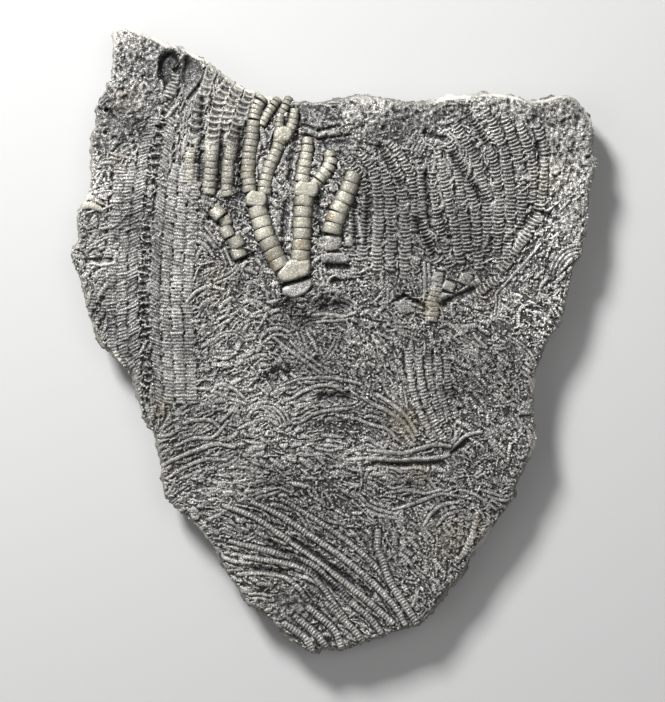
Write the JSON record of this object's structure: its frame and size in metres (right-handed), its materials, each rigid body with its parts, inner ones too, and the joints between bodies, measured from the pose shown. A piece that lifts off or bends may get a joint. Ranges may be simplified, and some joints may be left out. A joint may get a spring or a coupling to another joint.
{
  "type": "crinoid fossil",
  "caption": "Thin irregular slab of dark shale that lies flat, its upper face crowded with crinoid arms, feathery pinnules, stems and cirri in relief.",
  "frame": {"origin": "under the middle of the bounding box, on the flat underside of the slab", "axes": "+Z out of the fossil face, +Y towards the wide broken top edge with the tall left peak, +X to the right when the fossils are seen from above"},
  "size_m": [0.1328, 0.158, 0.0137],
  "materials": {
    "fossil_stone": "dark grey pyritised shale with a graphite sheen, paler where the edge is freshly broken"
  },
  "bodies": {
    "root": {"fossil_slab": "fossil_stone"}
  },
  "joints": []
}
